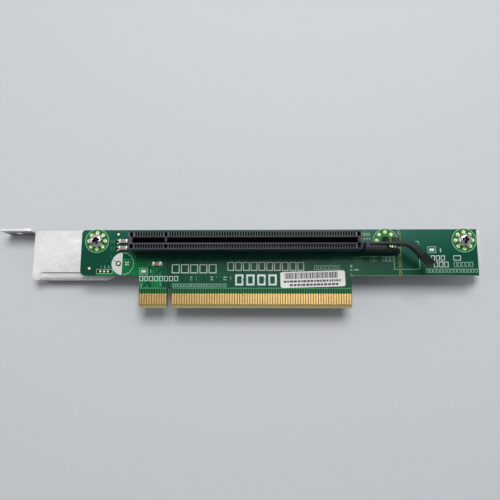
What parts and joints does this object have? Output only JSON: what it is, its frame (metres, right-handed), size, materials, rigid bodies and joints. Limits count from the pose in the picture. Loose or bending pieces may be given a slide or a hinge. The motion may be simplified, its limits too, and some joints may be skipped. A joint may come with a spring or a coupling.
{
  "type": "pcie riser card",
  "caption": "Low-profile riser card: a bevelled edge connector with gold fingers feeds a long card slot with a retention latch, on a folded steel bracket.",
  "frame": {"origin": "on the key notch's centre line at the tongue's edge, at the middle of the board's thickness", "axes": "+X along the card away from the bracket's ear, +Y up the card away from the edge connector, +Z out of the component side"},
  "size_m": [0.1968, 0.0325, 0.0229],
  "materials": {
    "solder_mask": "glossy green solder mask over glass-fibre laminate",
    "gold": "hard gold plating",
    "slot_plastic": "black moulded thermoplastic",
    "contact_metal": "plated copper alloy spring",
    "solder": "bright tin",
    "latch_plastic": "dark brown-black moulded thermoplastic",
    "zinc_steel": "galvanised sheet with a fine spangle",
    "standoff_steel": "zinc plated",
    "screw_steel": "nickel plated",
    "ceramic_body": "fired brown-grey body",
    "label_paper": "white coated paper"
  },
  "bodies": {
    "root": {"circuit_board": "solder_mask", "edge_contacts_front": "gold", "edge_contacts_back": "gold", "slot_housing": "slot_plastic", "slot_contacts_upper": "contact_metal", "slot_contacts_lower": "contact_metal", "solder_joints": "solder", "card_latch": "latch_plastic", "mounting_bracket": "zinc_steel", "standoff_left": "standoff_steel", "standoff_right": "standoff_steel", "screw_left": "screw_steel", "screw_right": "screw_steel", "capacitor_upper_body": "ceramic_body", "capacitor_upper_terminals": "solder", "capacitor_lower_body": "ceramic_body", "capacitor_lower_terminals": "solder", "capacitor_centre_body": "ceramic_body", "capacitor_centre_terminals": "solder", "board_label": "label_paper"}
  },
  "joints": []
}
